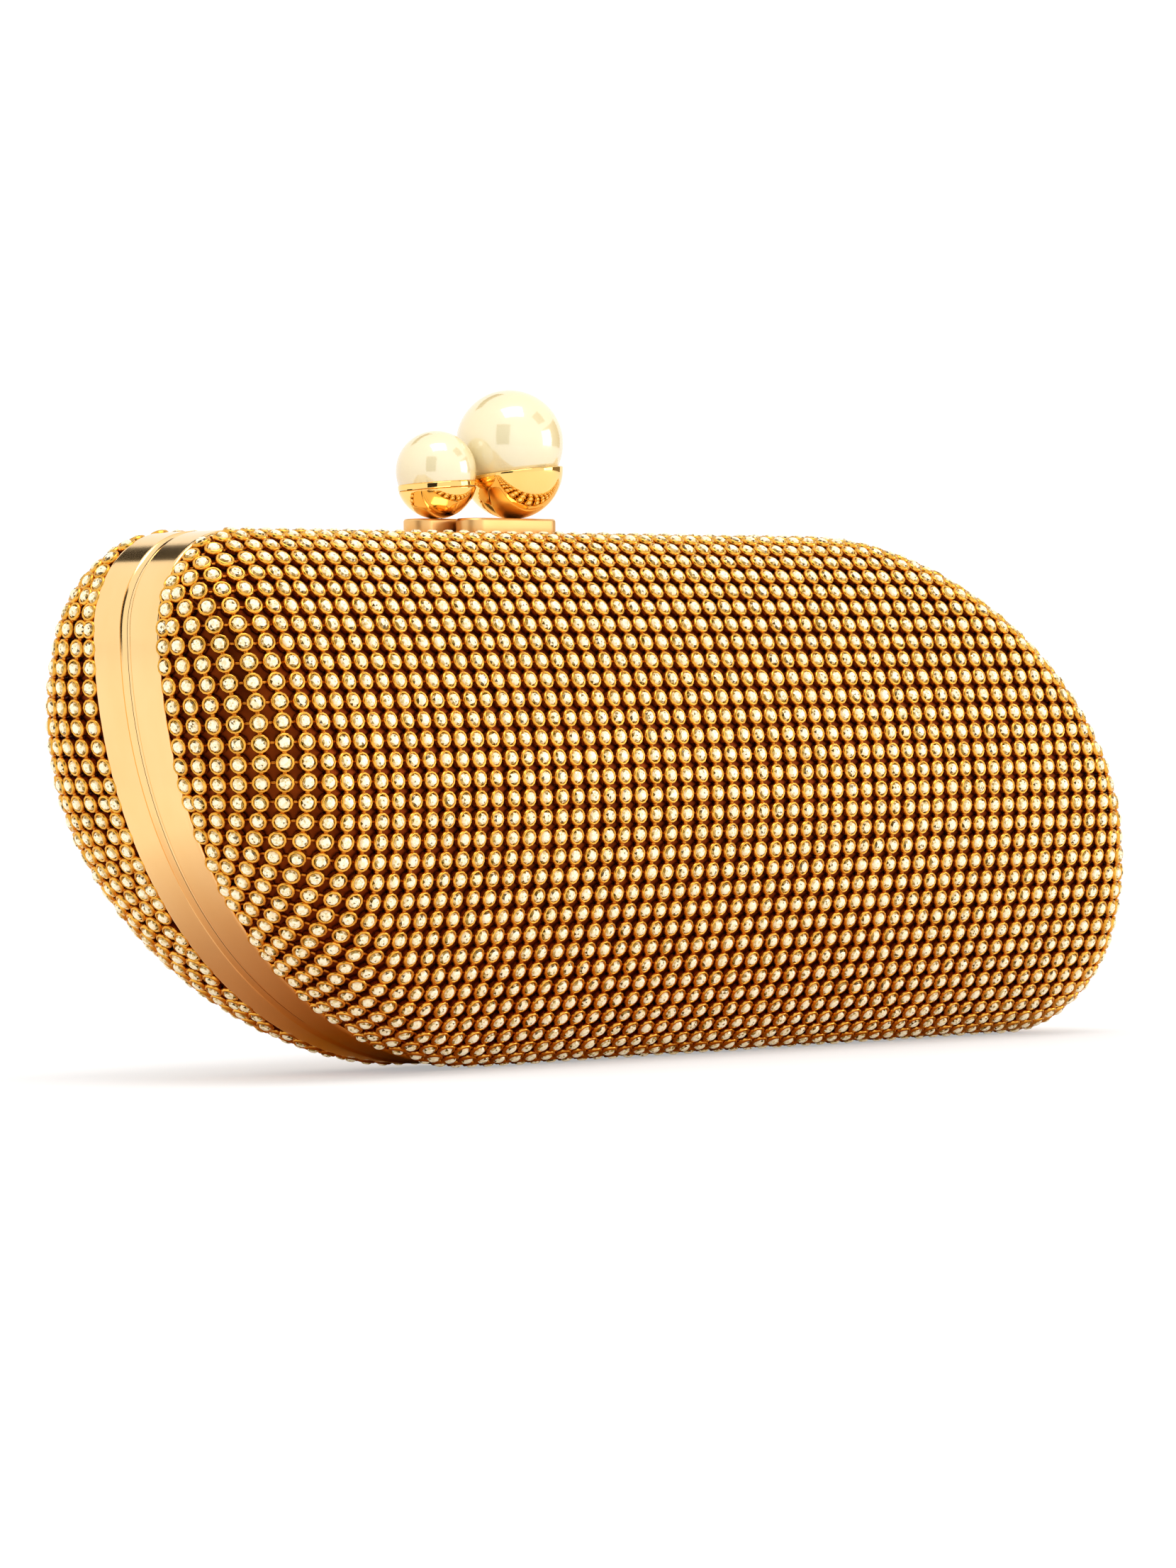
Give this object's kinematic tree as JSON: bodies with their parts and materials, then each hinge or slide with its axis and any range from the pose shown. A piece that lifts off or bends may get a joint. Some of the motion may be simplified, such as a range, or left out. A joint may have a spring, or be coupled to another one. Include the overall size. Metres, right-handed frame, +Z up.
{
  "type": "evening bag",
  "caption": "Hard box clutch in two domed halves covered in crystal cup mesh, hinged along the bottom edge, with polished bands and a kissing pearl clasp on top.",
  "frame": {"origin": "middle of the bag's footprint, on the surface that it stands on", "axes": "+X along the bag to the side with the wide upper sweep, -Y to the front, +Z up"},
  "size_m": [0.21, 0.0532, 0.1021],
  "materials": {
    "polished_gold": "polished light gold plate",
    "mirror_gold": "mirror gold plate",
    "shell_metal": "satin gold plate, dulled under the mesh",
    "cup_gold": "bright gold plated cups",
    "crystal": "cut and foiled crystal",
    "lining_satin": "satin cloth on card",
    "pearl": "pearlescent lacquer",
    "hinge_brass": "satin brass",
    "steel": "turned steel"
  },
  "bodies": {
    "front_half": {"front_band": "polished_gold", "front_shell": "shell_metal", "front_cup_mesh": "cup_gold", "front_crystals": "crystal", "front_lining": "lining_satin", "front_hinge_leaf": "hinge_brass", "hinge_pin": "steel", "front_leaf_rivets": "steel", "front_clasp_plate": "polished_gold", "front_plate_pegs": "steel", "large_pearl_cup": "mirror_gold", "large_pearl": "pearl", "large_knob_screw": "steel"},
    "rear_half": {"rear_band": "polished_gold", "rear_shell": "shell_metal", "rear_cup_mesh": "cup_gold", "rear_crystals": "crystal", "rear_lining": "lining_satin", "rear_hinge_leaf": "hinge_brass", "rear_leaf_rivets": "steel", "rear_clasp_plate": "polished_gold", "rear_plate_pegs": "steel", "small_pearl_cup": "mirror_gold", "small_pearl": "pearl", "small_knob_screw": "steel"}
  },
  "joints": [
    {"name": "lid_hinge", "type": "hinge", "parent": "front_half", "child": "rear_half", "pos_m": [0.02, 0, 0.00205], "axis": [-1, 0, 0], "range_deg": [0, 70]}
  ]
}
